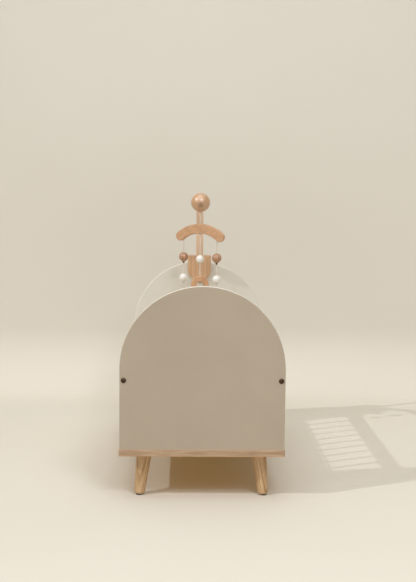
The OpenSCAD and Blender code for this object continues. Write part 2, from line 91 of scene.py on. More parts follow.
cameraSpot = {
    "place": (-0.0349, -2.1072, 0.5382),
    "down": 5.71,
    "turn": 1.34,
    "roll": 0.57,
    "lens": 67.64,
    "clipEnd": 50,
}


def makeCamera(look):
    down, turn, roll = (math.radians(look[key]) for key in ("down", "turn", "roll"))
    ahead = math.cos(down)
    forward = Vector((math.sin(turn) * ahead, math.cos(turn) * ahead, -math.sin(down)))
    level = Vector((math.cos(turn), -math.sin(turn), 0))
    upright = level.cross(forward)
    right = level * math.cos(roll) + upright * math.sin(roll)
    up = upright * math.cos(roll) - level * math.sin(roll)
    turned = Matrix((right, up, -forward)).transposed().to_4x4()
    data = bpy.data.cameras.new("mainCamera")
    data.lens = look["lens"]
    data.clip_end = look["clipEnd"]
    camera = bpy.data.objects.new("mainCamera", data)
    bpy.context.collection.objects.link(camera)
    camera.matrix_world = Matrix.Translation(look["place"]) @ turned
    bpy.context.scene.camera = camera


makeCamera(cameraSpot)
print("camera placed")


def feed(tree, socket, value):
    if isinstance(value, bpy.types.NodeSocket):
        tree.links.new(value, socket)
    elif value is not None:
        socket.default_value = value


def put(tree, kind, inputs=None, **settings):
    node = tree.nodes.new("ShaderNode" + kind)
    for key, value in settings.items():
        setattr(node, key, value)
    for key, value in (inputs or {}).items():
        feed(tree, node.inputs[key], value)
    return node


def calc(tree, operation, *terms, clamp=False):
    node = put(tree, "Math", operation=operation, use_clamp=clamp)
    for socket, term in zip(node.inputs, terms):
        feed(tree, socket, term)
    return node.outputs[0]


def times(tree, first, second, clamp=False):
    return calc(tree, "MULTIPLY", first, second, clamp=clamp)


def plus(tree, first, second):
    return calc(tree, "ADD", first, second)


def minus(tree, first, second, clamp=False):
    return calc(tree, "SUBTRACT", first, second, clamp=clamp)


def larger(tree, first, second):
    return calc(tree, "MAXIMUM", first, second)


def isOver(tree, value, limit):
    return calc(tree, "GREATER_THAN", value, limit)


def parted(tree, vector):
    return put(tree, "SeparateXYZ", {0: vector}).outputs


def blendColours(tree, factor, first, second, mode="MIX"):
    # a Mix node for colours takes its factor at 0, its colours at 6 and 7, and gives one at 2
    node = put(tree, "Mix", data_type="RGBA", blend_type=mode)
    for place, value in ((0, factor), (6, first), (7, second)):
        feed(tree, node.inputs[place], value)
    return node.outputs[2]


def span(tree, value, low, high, toLow, toHigh):
    node = put(tree, "MapRange", clamp=True)
    for socket, term in zip(node.inputs, (value, low, high, toLow, toHigh)):
        feed(tree, socket, term)
    return node.outputs[0]


softTones, hardTones = (0.3, 0.7), (0.35, 0.65)     # the part of a noise that is drawn out


def spread(tree, value, over=(0.0, 1.0), part=softTones):
    # a noise keeps near its middle, so that part of it is drawn out over the range wanted
    return span(tree, value, *part, *over)


def ramp(tree, factor, stops, ease="LINEAR"):
    node = put(tree, "ValToRGB", {"Fac": factor})
    line = node.color_ramp
    line.interpolation = ease
    while len(line.elements) < len(stops):
        line.elements.new(0.5)
    for element, (place, colour) in zip(line.elements, stops):
        element.position = place
        element.color = rgb(colour) if isinstance(colour, str) else [colour, colour, colour, 1]
    return node.outputs[0]


def grit(tree, vector, scale, detail=2.0, rough=0.5):
    inputs = {"Vector": vector, "Scale": scale, "Detail": detail, "Roughness": rough}
    return put(tree, "TexNoise", inputs).outputs["Fac"]


def drawnGrit(tree, vector, factors, detail=2.0, rough=0.5):
    # noise with its own fineness along each axis
    drawn = put(tree, "VectorMath", {0: vector, 1: factors}, operation="MULTIPLY").outputs[0]
    return grit(tree, drawn, 1.0, detail, rough)


def makeGroup(name, sockets, results):
    group = bpy.data.node_groups.new(name, "ShaderNodeTree")
    for label, kind, value in sockets:
        socket = group.interface.new_socket(name=label, in_out="INPUT", socket_type="NodeSocket" + kind)
        if value is not None:
            socket.default_value = value
    for label, kind in results:
        group.interface.new_socket(name=label, in_out="OUTPUT", socket_type="NodeSocket" + kind)
    return group, group.nodes.new("NodeGroupInput").outputs, group.nodes.new("NodeGroupOutput").inputs


def useGroup(tree, group, **values):
    node = tree.nodes.new("ShaderNodeGroup")
    node.node_tree = group
    for key, value in values.items():
        feed(tree, node.inputs[key], value)
    return node.outputs


def newMaterial(name, **constants):
    material = bpy.data.materials.new(name)
    material.use_nodes = True
    tree = material.node_tree
    shader = tree.nodes["Principled BSDF"]
    for key, value in constants.items():
        shader.inputs[key.replace("_", " ")].default_value = value
    return material, tree, shader


def dress(tree, shader, colour, rough, height, depth):
    # what every finish ends in: its colour, its roughness, and a relief of the depth given
    feed(tree, shader.inputs["Base Color"], colour)
    feed(tree, shader.inputs["Roughness"], rough)
    relief = put(tree, "Bump", {"Strength": 1.0, "Distance": depth, "Height": height})
    feed(tree, shader.inputs["Normal"], relief.outputs[0])


grainLook = {
    "sway": (14, 14, 3),         # fineness of each noise across the grain, twice, and along it
    "streak": (150, 150, 5),
    "fibre": (2300, 2300, 60),
    "fleck": (1500, 900, 240),
    "fleckPart": (0.6, 0.72),    # only the peaks of that noise show
    "wander": 0.012,             # how far the rings stray, in metres
    "ringScale": 0.31416,        # turns rings to the metre into the wave texture's scale
    "distortion": 1.1,
    "ringDetail": 2.0,
    "detailScale": 0.35,
    "year": [(0.0, 0.05), (0.55, 0.25), (0.88, 1.0), (1.0, 0.05)],     # a ring, from inside to outside
    "lateShare": 0.42,           # how much rings, streaks and fibres each darken the wood
    "streakShare": 0.38,
    "fibreShare": 0.24,
    "heartAndReflectionFade": 0.8,            # how far into the core it reaches its full darkness
    "heartAndReflectionShare": 0.95,
    "polish": (0.7, 0.3),        # how much fibres and streaks count in the roughness
    "poreDepth": 0.6,
    "fleckDepth": 0.4,
}


def makeWoodGroup(look):
    # solid wood: Z runs along the grain and the growth rings go round it
    group, given, result = makeGroup(
        "timberGrain",
        [("Vector", "Vector", None), ("Light", "Color", rgb("d9b48c")), ("Dark", "Color", rgb("a8794f")),
         ("Rings", "Float", 380.0), ("Figure", "Float", 0.5), ("Fleck", "Float", 0.4),
         ("Heart", "Float", 0.0)],
        [("Color", "Color"), ("Polish", "Float"), ("Height", "Float")],
    )
    point = given["Vector"]
    sway = drawnGrit(group, point, look["sway"], 1.0)
    aside = times(group, minus(group, sway, 0.5), look["wander"])
    stray = put(group, "CombineXYZ", {"X": aside}).outputs[0]
    bent = put(group, "VectorMath", {0: point, 1: stray}, operation="ADD").outputs[0]
    waves = {"Vector": bent, "Scale": times(group, given["Rings"], look["ringScale"]),
             "Distortion": look["distortion"], "Detail": look["ringDetail"],
             "Detail Scale": look["detailScale"]}
    rings = put(group, "TexWave", waves, wave_type="RINGS", rings_direction="Z",
                wave_profile="SAW").outputs["Fac"]
    late = ramp(group, rings, look["year"])
    streak = drawnGrit(group, point, look["streak"])
    fibre = drawnGrit(group, point, look["fibre"])
    fleck = spread(group, drawnGrit(group, point, look["fleck"], 1.0), part=look["fleckPart"])
    fine = plus(group, times(group, spread(group, streak), look["streakShare"]),
                times(group, spread(group, fibre), look["fibreShare"]))
    shade = plus(group, times(group, late, look["lateShare"]), fine)

    # the heart is a dark core of the radius given, and none where that is 0; on the ball it also serves as
    # a painted reflection of the dark below the highlight
    offX, offY, _ = parted(group, bent)
    off = calc(group, "SQRT", plus(group, times(group, offX, offX), times(group, offY, offY)))
    outside = calc(group, "DIVIDE", off, larger(group, given["Heart"], 1e-5))
    inside = minus(group, 1.0, outside, clamp=True)
    heartAndReflection = span(group, inside, 0.0, look["heartAndReflectionFade"], 0.0, look["heartAndReflectionShare"])

    darkness = times(group, shade, times(group, given["Figure"], 2.0), clamp=True)
    plain = blendColours(group, larger(group, darkness, heartAndReflection), given["Light"], given["Dark"])
    marks = times(group, fleck, given["Fleck"])
    marked = blendColours(group, 0.5, plain, given["Dark"], "MULTIPLY")
    feed(group, result["Color"], blendColours(group, marks, plain, marked))
    byFibre, byStreak = look["polish"]
    feed(group, result["Polish"], plus(group, times(group, fibre, byFibre), times(group, streak, byStreak)))
    pores = minus(group, 1.0, times(group, fibre, look["poreDepth"]))
    feed(group, result["Height"], minus(group, pores, times(group, marks, look["fleckDepth"])))
    return group


lacquerLook = {
    "drift": 9.0,                # fineness of the slow change of tone
    "rub": (60, 60, 22),
    "ripple": 90.0,
    "rippleShare": 0.6,
}


def makePaintGroup(look):
    # sprayed lacquer: a slow change of tone, faint orange peel and rub marks
    group, given, result = makeGroup(
        "lacquerSkin",
        [("Vector", "Vector", None), ("Peel", "Float", 700.0)],
        [("Tone", "Float"), ("Rub", "Float"), ("Height", "Float")],
    )
    point = given["Vector"]
    feed(group, result["Tone"], grit(group, point, look["drift"], 3.0, 0.55))
    feed(group, result["Rub"], drawnGrit(group, point, look["rub"], 3.0, 0.6))
    peel = grit(group, point, given["Peel"], 1.0)
    ripple = times(group, grit(group, point, look["ripple"]), look["rippleShare"])
    feed(group, result["Height"], plus(group, peel, ripple))
    return group


weaveLook = {
    "slubAcross": 500.0,         # fineness of a yarn's thick and thin places, across it and along it
    "slubAlong": 22.0,
}


def makeWeaveGroup(look):
    # plain weave laid flat on whichever way a face looks
    group, given, result = makeGroup(
        "plainWeave",
        [("Vector", "Vector", None), ("Facing", "Vector", None), ("Yarns", "Float", 900.0)],
        [("Yarn", "Float"), ("Slub", "Float"), ("Height", "Float")],
    )
    x, y, z = parted(group, given["Vector"])
    faceX, faceY, faceZ = [calc(group, "ABSOLUTE", part) for part in parted(group, given["Facing"])]
    top = isOver(group, faceZ, larger(group, faceX, faceY))
    side = times(group, isOver(group, faceX, faceY), minus(group, 1.0, top))

    def choose(mask, yes, no):
        return plus(group, times(group, mask, yes), times(group, minus(group, 1.0, mask), no))

    across, along = choose(side, y, x), choose(top, y, z)

    def slub(acrossScale, alongScale):
        place = {"X": times(group, across, acrossScale), "Y": times(group, along, alongScale)}
        return grit(group, put(group, "CombineXYZ", place).outputs[0], 1.0)

    def crown(wave, thickness):
        return times(group, calc(group, "ABSOLUTE", wave), plus(group, thickness, 0.5))

    turns = times(group, given["Yarns"], math.pi)
    warp = calc(group, "SINE", times(group, across, turns))
    weft = calc(group, "SINE", times(group, along, turns))
    over = isOver(group, times(group, warp, weft), 0.0)
    warpSlub = slub(look["slubAcross"], look["slubAlong"])
    weftSlub = slub(look["slubAlong"], look["slubAcross"])
    feed(group, result["Yarn"], over)
    feed(group, result["Slub"], choose(over, warpSlub, weftSlub))
    feed(group, result["Height"], choose(over, crown(warp, warpSlub), crown(weft, weftSlub)))
    return group


timberGrain = makeWoodGroup(grainLook)
lacquerSkin = makePaintGroup(lacquerLook)
plainWeave = makeWeaveGroup(weaveLook)
print("shared effects built")


def coords(tree):
    return put(tree, "TexCoord").outputs


def blendTones(tree, value, tones, part=softTones):
    # from the first tone to the second as the value rises
    return blendColours(tree, spread(tree, value, part=part), rgb(tones[0]), rgb(tones[1]))


def grainPlace(tree, turn, pith):
    # the object's own place, turned so that Z follows the grain, with the pith at the origin
    angles = [math.radians(a) for a in turn]
    place = {"Vector": coords(tree)["Object"], "Rotation": angles, "Location": pith}
    return put(tree, "Mapping", place).outputs[0]


def timber(name, look):
    material, tree, shader = newMaterial(name, **look["shader"])
    light, dark = rgb(look["light"]), rgb(look["dark"])
    if "upper" in look:
        start, upperLight, upperDark = look["upper"]
        above = isOver(tree, parted(tree, coords(tree)["Object"])[2], start)
        light = blendColours(tree, above, light, rgb(upperLight))
        dark = blendColours(tree, above, dark, rgb(upperDark))
    made = useGroup(tree, timberGrain, Vector=grainPlace(tree, look["turn"], look["pith"]), Light=light,
                    Dark=dark, Rings=look["rings"], Figure=look["figure"], Fleck=look["fleck"],
                    Heart=look["heartAndReflection"])
    rough = spread(tree, made["Polish"], look["rough"])
    dress(tree, shader, made["Color"], rough, made["Height"], look["depth"])
    return material


alongX, alongY, alongZ = (0, -90, 0), (90, 0, 0), (0, 0, 0)     # degrees, for grain along each axis

beech = {
    "light": "d8b898",
    "dark": "b68c68",
    "turn": alongZ,
    "pith": (0.055, 0.021, 0),
    "rings": 330.0,                  # to the metre
    "figure": 0.5,
    "fleck": 0.5,
    "heartAndReflection": 0.0,
    "rough": (0.42, 0.56),
    "depth": 0.05 * mm,
    "shader": {"Coat_Weight": 0.15, "Coat_Roughness": 0.35},
}
paleBeech = dict(beech, light="e0c29c", dark="bf9468")
postBeech = dict(beech, light="e2bd9a", dark="aa7a50", pith=(0.09, 0.12, 0))
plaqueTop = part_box("clip_spacer")[1][2]     # the post is paler above it
ballCoat = {"Coat_Weight": 1.0, "Coat_Roughness": 0.38, "Coat_IOR": 2.2, "Coat_Tint": rgb("f8ead8")}
beadCoat = {"Coat_Weight": 0.9, "Coat_Roughness": 0.26, "Coat_IOR": 1.65, "Coat_Tint": rgb("fbeee0")}

railWood = timber("railBeech", dict(paleBeech, turn=alongY, pith=(0.04, 0.19, 0)))
spindleWood = timber("spindleBeech", paleBeech)
postWood = timber("postBeech", dict(
    postBeech, rings=560.0, figure=0.32, upper=(plaqueTop, "f2d6bb", "bf9573")))
plateWood = timber("plateBeech", dict(postBeech, figure=0.4))
spacerWood = timber("spacerBeech", dict(beech, light="cfa988", dark="ac8262", turn=alongX))
# a dark end-grain heart just below the ball's centre, which is also a painted reflection of the dark below
# the highlight
ballWood = timber("ballBeech", dict(
    beech, light="d8b08a", dark="84603c", turn=alongY, pith=(-0.0015, 0.4898, 0), rings=300.0,
    figure=0.32, rough=(0.4, 0.5), heartAndReflection=0.011, shader=ballCoat))
armWood = timber("armBeech", dict(
    beech, light="deba96", dark="b4875e", turn=alongY, pith=(0.05, 0.4, 0)))
brownWood = timber("stainedBead", dict(
    beech, light="d4ac8c", dark="8a644a", pith=(0.006, 0.19, 0), rings=520.0, figure=0.62,
    rough=(0.32, 0.44), shader=beadCoat))
hangerWood = timber("hangerBeech", dict(
    beech, light="d6ae8a", dark="b68a64", turn=(0, -90, 30), pith=(0.02, 0.06, 0.02), rings=480.0,
    figure=0.55))
pendantWood = timber("pendantBeech", dict(beech, light="d9ad88", dark="b1835c", pith=(0.02, 0.03, 0)))


def legWood(name, lean):
    # the grain follows the leg as it leans out
    return timber(name, dict(
        beech, light="e0c199", dark="9e784a", turn=lean, pith=(0.05, 0.07, 0), rings=260.0,
        figure=0.62, rough=(0.4, 0.55)))


flatFace = 0.7     # a face that looks this much along an axis counts as square to it

paintedBoard = {
    "face": ("a89a88", "ad9f8d"),
    "edge": ("dad7cc", "dfdcd3"),
    "rough": (0.46, 0.56),
    "depth": 0.03 * mm,
    "shader": {"Coat_Weight": 0.08, "Coat_Roughness": 0.3},
}


def boardPaint(name, look, outward):
    # darker on the flat outer face, pale on the edges and inside
    material, tree, shader = newMaterial(name, **look["shader"])
    place = coords(tree)
    made = useGroup(tree, lacquerSkin, Vector=place["Object"])
    outer = isOver(tree, times(tree, parted(tree, place["Normal"])[1], outward), flatFace)
    colour = blendColours(tree, outer, blendTones(tree, made["Tone"], look["edge"]),
                          blendTones(tree, made["Tone"], look["face"]))
    dress(tree, shader, colour, spread(tree, made["Rub"], look["rough"]), made["Height"], look["depth"])
    return material


plyBoard = {
    "veneerLight": "dcc5a4",
    "veneerDark": "c4a27c",
    "bareTint": "f0cb98",            # the unfinished underside
    "layers": [(0.0, "b08a62"), (0.12, "a2876c"), (0.38, "96775b"), (0.60, "a78b73"), (0.84, "ad8f76")],
    "wobble": 0.6 * mm,              # how far the glue lines stray
    "wobbleScale": 24.0,
    "endGrain": (900, 900, 2600),
    "endPart": (0.35, 0.7),
    "endShare": (0.0, 0.35),
    "endTint": "9c7452",
    "endHeight": 0.5,
    "streak": (26, 26, 900),
    "streakPart": (0.4, 0.7),
    "streakShare": (0.0, 0.3),
    "streakTint": "ecd6b5",
    "pith": (0.03, 0.33, 0),
    "rings": 120.0,
    "figure": 0.35,
    "fleck": 0.25,
    "rough": (0.5, 0.66),
    "depth": 0.06 * mm,
}


def plyMaterial(look):
    # veneered faces, and the glued layers on show round the edge
    low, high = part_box("base_board")
    material, tree, shader = newMaterial("birchPly")
    place = coords(tree)
    point, facing = place["Object"], parted(tree, place["Normal"])[2]
    face = useGroup(tree, timberGrain, Vector=grainPlace(tree, alongY, look["pith"]),
                    Light=rgb(look["veneerLight"]), Dark=rgb(look["veneerDark"]), Rings=look["rings"],
                    Figure=look["figure"], Fleck=look["fleck"])
    stray = times(tree, minus(tree, grit(tree, point, look["wobbleScale"]), 0.5), look["wobble"])
    level = span(tree, plus(tree, parted(tree, point)[2], stray), low[2], high[2], 0.0, 1.0)
    layer = ramp(tree, level, look["layers"], "CONSTANT")
    endGrain = drawnGrit(tree, point, look["endGrain"])
    streak = drawnGrit(tree, point, look["streak"])
    dark = spread(tree, endGrain, look["endShare"], look["endPart"])
    pale = spread(tree, streak, look["streakShare"], look["streakPart"])
    edge = blendColours(tree, dark, layer, rgb(look["endTint"]))
    edge = blendColours(tree, pale, edge, rgb(look["streakTint"]))
    bare = blendColours(tree, 1.0, face["Color"], rgb(look["bareTint"]), "MULTIPLY")
    veneer = blendColours(tree, calc(tree, "LESS_THAN", facing, -flatFace), face["Color"], bare)
    colour = blendColours(tree, isOver(tree, calc(tree, "ABSOLUTE", facing), flatFace), edge, veneer)
    height = plus(tree, face["Height"], times(tree, endGrain, look["endHeight"]))
    dress(tree, shader, colour, spread(tree, face["Polish"], look["rough"]), height, look["depth"])
    return material


steel = {"tones": ("c9cbcb", "a9abad"), "rough": (0.3, 0.44)}
bronze = {"tones": ("5b4a3c", "3d3027"), "rough": (0.38, 0.52)}
metalSkin = {"blotch": 350.0, "scratch": 2700.0, "depth": 0.01 * mm}


def metal(name, look, skin):
    material, tree, shader = newMaterial(name, Metallic=1.0)
    point = coords(tree)["Object"]
    colour = blendTones(tree, grit(tree, point, skin["blotch"], 3.0, 0.6), look["tones"], hardTones)
    scratch = grit(tree, point, skin["scratch"])
    dress(tree, shader, colour, spread(tree, scratch, look["rough"]), scratch, skin["depth"])
    return material


whiteBead = {
    "tones": ("f4f3f1", "edebe6"),
    "peel": 1500.0,
    "rough": (0.38, 0.5),
    "depth": 0.02 * mm,
    "shader": {"Coat_Weight": 0.3, "Coat_Roughness": 0.25},
}


def whiteLacquer(look):
    material, tree, shader = newMaterial("whiteLacquer", **look["shader"])
    made = useGroup(tree, lacquerSkin, Vector=coords(tree)["Object"], Peel=look["peel"])
    colour = blendTones(tree, made["Tone"], look["tones"])
    dress(tree, shader, colour, spread(tree, made["Rub"], look["rough"]), made["Height"], look["depth"])
    return material


cordYarn = {"tones": ("f5efe3", "ddd1bd"), "depth": 0.04 * mm}
# the upper knots, under the wooden beads, are this dark brown
darkKnotYarn = {"tones": ("836551", "5d4536"), "depth": 0.04 * mm}
pipingYarn = {"tones": ("efe5d3", "d8cab2"), "depth": 0.075 * mm}
yarnSkin = {
    "fuzz": 2600.0,
    "fuzzShare": 0.7,
    "patch": 160.0,
    "patchShare": 0.3,
    "rough": (0.78, 0.92),
    "shader": {"Sheen_Weight": 0.35, "Sheen_Roughness": 0.5},
}


def cotton(name, look, skin):
    material, tree, shader = newMaterial(name, **skin["shader"])
    point = coords(tree)["Object"]
    fuzz = grit(tree, point, skin["fuzz"], 3.0, 0.7)
    patch = grit(tree, point, skin["patch"])
    tone = plus(tree, times(tree, fuzz, skin["fuzzShare"]), times(tree, patch, skin["patchShare"]))
    colour = blendTones(tree, tone, look["tones"], hardTones)
    dress(tree, shader, colour, spread(tree, fuzz, skin["rough"]), fuzz, look["depth"])
    return material


padCloth = {
    "yarns": 1100.0,                 # to the metre
    "tones": ("f3ebdc", "e3d7c2"),
    # painted shade in the low places between the yarns
    "paintedGapShade": "c9bba3",
    "faded": "e8dcc8",
    "fadeScale": 7.0,
    "fadeShare": (0.0, 0.25),
    "rough": (0.8, 0.9),
    "depth": 0.18 * mm,
    "shader": {"Sheen_Weight": 0.3, "Sheen_Roughness": 0.45},
}


def wovenCotton(look):
    material, tree, shader = newMaterial("wovenCotton", **look["shader"])
    place = coords(tree)
    made = useGroup(tree, plainWeave, Vector=place["Object"], Facing=place["Normal"], Yarns=look["yarns"])
    colour = blendTones(tree, made["Slub"], look["tones"])
    # painted shade: the low places between the yarns are mixed towards a darker colour
    colour = blendColours(tree, span(tree, made["Height"], 0.0, 0.5, 0.5, 0.0), colour, rgb(look["paintedGapShade"]))
    fade = spread(tree, grit(tree, place["Object"], look["fadeScale"], 3.0), look["fadeShare"], hardTones)
    colour = blendColours(tree, fade, colour, rgb(look["faded"]))
    rough = spread(tree, made["Slub"], look["rough"])
    dress(tree, shader, colour, rough, made["Height"], look["depth"])
    return material


darkFelt = {
    "tones": ("4a3c30", "2c231c"),
    "hairs": (1500, 2600, 1900),
    "rough": (0.88, 0.98),
    "depth": 0.2 * mm,
    "shader": {"Sheen_Weight": 0.4, "Sheen_Roughness": 0.6},
}


def felt(look):
    material, tree, shader = newMaterial("padFelt", **look["shader"])
    hairs = drawnGrit(tree, coords(tree)["Object"], look["hairs"], 4.0, 0.75)
    colour = blendTones(tree, hairs, look["tones"], hardTones)
    dress(tree, shader, colour, spread(tree, hairs, look["rough"]), hairs, look["depth"])
    return material


steelMetal = metal("zincSteel", steel, metalSkin)
bronzeMetal = metal("darkBronze", bronze, metalSkin)
whitePaint = whiteLacquer(whiteBead)
cordCotton = cotton("cordCotton", cordYarn, yarnSkin)
darkKnotCotton = cotton("darkKnotTwine", darkKnotYarn, yarnSkin)
clothCotton = wovenCotton(padCloth)
pipingCotton = cotton("pipingCotton", pipingYarn, yarnSkin)
feltPad = felt(darkFelt)
legLean = 6.4     # degrees


def finishFrame(lean):
    finishes = {
        "base_board": plyMaterial(plyBoard),
        "foot_end_panel": boardPaint("footEndPaint", paintedBoard, -1),
        "head_end_panel": boardPaint("headEndPaint", paintedBoard, 1),
        "left_side_rail": railWood, "right_side_rail": railWood,
        "left_spindles": spindleWood, "right_spindles": spindleWood, "panel_dowels": spindleWood,
        "foot_end_bolts": bronzeMetal, "head_end_bolts": bronzeMetal,
        "barrel_nuts": steelMetal, "panel_screws": steelMetal,
        "leg_bolts": steelMetal, "leg_tee_nuts": steelMetal,
        "foot_end_left_leg": legWood("footLeftLeg", (lean, -lean, 0)),
        "foot_end_right_leg": legWood("footRightLeg", (lean, lean, 0)),
        "head_end_left_leg": legWood("headLeftLeg", (-lean, -lean, 0)),
        "head_end_right_leg": legWood("headRightLeg", (-lean, lean, 0)),
        "foot_pads": feltPad,
        "mobile_post": postWood, "clip_back_plate": plateWood, "clip_spacer": spacerWood,
        "mobile_arm": armWood, "mobile_ball": ballWood,
        "hanger_arch": hangerWood, "arch_pendant": pendantWood,
        "left_wood_bead": brownWood, "right_wood_bead": brownWood,
        "left_white_bead": whitePaint, "right_white_bead": whitePaint, "centre_white_bead": whitePaint,
    }
    for node, material in finishes.items():
        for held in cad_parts[node].material_slots:
            held.material = material


finishFrame(legLean)
print("frame finished")


def sidePairs(points, closed):
    # two directions across the line at each point, turning as little as they can
    count = len(points)
    step = [(points[(i + 1) % count] - points[i - 1]) for i in range(count)]
    if not closed:
        step[0], step[-1] = points[1] - points[0], points[-1] - points[-2]
    step = [d.normalized() for d in step]
    first = Vector((1, 0, 0)) if abs(step[0].x) < 0.8 else Vector((0, 1, 0))     # not along the line
    across = (first - step[0] * first.dot(step[0])).normalized()
    pairs = []
    for direction in step:
        across = (across - direction * across.dot(direction)).normalized()
        pairs.append((across, direction.cross(across)))
    return pairs


def twistedRope(points, look, closed=False):
    # strands laid round each other along the points
    points = [Vector(p) for p in points]
    pairs = sidePairs(points, closed)
    strands, sides = look["strands"], look["sides"]
    strandR = look["plump"] * look["diameter"] / 2 / (1 + 1 / math.sin(math.pi / strands))
    out = look["diameter"] / 2 - strandR
    along = [0.0]
    for a, b in zip(points, points[1:]):
        along.append(along[-1] + (b - a).length)
    total = along[-1] + ((points[0] - points[-1]).length if closed else 0)
    turns = total / look["lay"]
    if closed:     # whole turns, and the small one that brings the last pair round to the first
        lastAcross, lastUp = pairs[-1]
        turns = max(1, round(turns))
        turns += math.atan2(pairs[0][0].dot(lastUp), pairs[0][0].dot(lastAcross)) / math.tau
    widen = 1 / math.cos(math.atan(math.tau * out / look["lay"]))     # a leaning strand is cut wider
    verts, faces = [], []
    for k in range(strands):
        base = len(verts)
        for i, (point, (across, up)) in enumerate(zip(points, pairs)):
            loose, slim = 0, 1
            if not closed:
                left = total - along[i]
                loose = look["fray"] * max(0.0, 1 - left / look["frayOver"]) ** 2
                nearEnd = along[i] if look["fray"] else min(along[i], left)
                slim = 1 - look["pinch"] * max(0.0, 1 - nearEnd / look["neck"])
            turn = math.tau * (turns * along[i] / total + k / strands)
            radial = across * math.cos(turn) + up * math.sin(turn)
            tangent = up * math.cos(turn) - across * math.sin(turn)
            centre = point + radial * (out * slim + loose)
            for j in range(sides):
                a = math.tau * j / sides
                rim = radial * math.cos(a) + tangent * widen * math.sin(a)
                verts.append(centre + rim * strandR * slim)
        rings = len(points)
        for i in range(rings if closed else rings - 1):
            a, b = base + i * sides, base + (i + 1) % rings * sides
            faces += [(a + j, a + (j + 1) % sides, b + (j + 1) % sides, b + j) for j in range(sides)]
        if not closed:
            faces.append(tuple(base + j for j in range(sides))[::-1])
            faces.append(tuple(base + (rings - 1) * sides + j for j in range(sides)))
    return verts, faces


cordLook = {
    "diameter": 2.4 * mm,
    "strands": 4,
    "sides": 8,
    "plump": 1.12,           # 1 makes strands that only just touch
    "lay": 7 * mm,           # length of one turn
    "step": 0.6 * mm,
    "fray": 0.5 * mm,        # how far the strands stand apart at the cut end, and over what length
    "frayOver": 3 * mm,
    "pinch": 0.5,            # how much slimmer it is where it ends in a hole, and over what length
    "neck": 1.5 * mm,
}
knotLook = {
    "cord": {"diameter": 1.9 * mm, "strands": 4, "sides": 7, "plump": 1.12, "lay": 5 * mm},
    "points": 96,
    "tall": 3.4 * mm,
}

hangerRoute = [-3.5 * mm * i for i in range(16)]     # 52.5 mm, from the ball to the knot under the hanger
strandRoute = [-5 * mm * i for i in range(21)]       # 100 mm, from the hanger to the cut end
centreRoute = [-7 * mm * i for i in range(16)]       # 105 mm, down through the pendant


def hangCord(name, node, body, route, look=cordLook):
    low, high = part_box(node)
    x, y, top = (low[0] + high[0]) / 2, (low[1] + high[1]) / 2, high[2]
    count = round(-route[-1] / look["step"])
    fine = [(x, y, top + route[-1] * i / count) for i in range(count + 1)]
    points, faces = twistedRope(fine, look)
    cord = newPiece(name, meshFrom(name, points, faces), body, cordCotton, (node,))


def knotPath(centre, radius, height, count):
    # a trefoil drawn tight round the cord
    path = []
    for i in range(count):
        t = math.tau * i / count
        x = (math.sin(t) + 2 * math.sin(2 * t)) * radius / 3
        y = (math.cos(t) - 2 * math.cos(2 * t)) * radius / 3
        path.append(centre + Vector((x, y, -math.sin(3 * t) * height)))
    return path


def tieKnots(name, node, body, material, centres, lowest=None):
    # the last knot takes another thread where lowest is given
    verts, faces, ends = [], [], []
    wide, tall, thick = size(node)[0], knotLook["tall"], knotLook["cord"]["diameter"]
    for centre in centres:
        path = knotPath(centre, (wide - thick) / 2, (tall - thick) / 2, knotLook["points"])
        addShape(verts, faces, *twistedRope(path, knotLook["cord"], closed=True))
        ends.append(len(faces))
    piece = newPiece(name, meshFrom(name, verts, faces), body, material, (node,))
    if lowest:
        piece.data.materials.append(lowest)
        for face in piece.data.polygons[ends[-2]:]:
            face.material_index = 1
    return piece


def endCentres(node):
    # the upper and the lower knot of a node that holds two
    low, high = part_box(node)
    x, y, half = (low[0] + high[0]) / 2, (low[1] + high[1]) / 2, knotLook["tall"] / 2
    return [Vector((x, y, high[2] - half)), Vector((x, y, low[2] + half))]


hangerKnot = tieKnots("hangerStopperKnot", "hanger_knot", "hanger_sling", cordCotton,
                      [middle("hanger_knot")])
leftKnots = tieKnots("leftStopperKnots", "left_knots", "left_strand", darkKnotCotton,
                     endCentres("left_knots"), cordCotton)
rightKnots = tieKnots("rightStopperKnots", "right_knots", "right_strand", darkKnotCotton,
                      endCentres("right_knots"), cordCotton)
centreKnot = tieKnots("centreStopperKnot", "centre_bead_knot", "centre_strand", cordCotton,
                      [middle("centre_bead_knot")])
pendantKnot = tieKnots("pendantStopperKnot", "pendant_knot", "centre_strand", cordCotton,
                       [middle("pendant_knot")])

hangCord("hangerTwine", "hanger_cord", "hanger_sling", hangerRoute, dict(cordLook, fray=0))
hangCord("leftTwine", "left_cord", "left_strand", strandRoute)
hangCord("rightTwine", "right_cord", "right_strand", strandRoute)
hangCord("centreTwine", "centre_cord", "centre_strand", centreRoute)
print("cords and knots made")


bedding = {
    "inset": 3.5 * mm,           # how far inside its place it is cut
    "crown": 5.5 * mm,           # how far below its place the top starts
    "corner": 18 * mm,
    "rimStep": 2 * mm,
    "voxel": 6 * mm,
    "heldAboveFloor": 0.4,       # points this near the floor or a seam stay put, in voxels
    "heldBySeam": 0.9,
    "pressure": 4.0,
    "quality": 4,
    "frames": 20,
    "cap": 5 * mm,               # the farthest a point may swell
    "gather": 0.55 * mm,         # depth of the small puckers beside the seams
    "gatherEvery": 8 * mm,
    "gatherOver": 11 * mm,
    "gatherFrom": 2.5 * mm,
    "gatherDrift": 0.6,          # how fast the puckers change away from the seam
    "gatherSeed": 3.7,
    "piping": 3.4 * mm,
    "pipingDrop": 0.3 * mm,
    "pipingLumps": 0.05,         # share of its radius
    "lumpsPerMetre": 180,
}


def roundedLoop(low, high, radius, steps=10):
    left, right = low[0] + radius, high[0] - radius
    near, far = low[1] + radius, high[1] - radius
    loop = []
    for x, y, start in ((right, far, 0), (left, far, 90), (left, near, 180), (right, near, 270)):
        for i in range(steps + 1):
            a = math.radians(start + 90 * i / steps)
            loop.append((x + radius * math.cos(a), y + radius * math.sin(a)))
    return loop


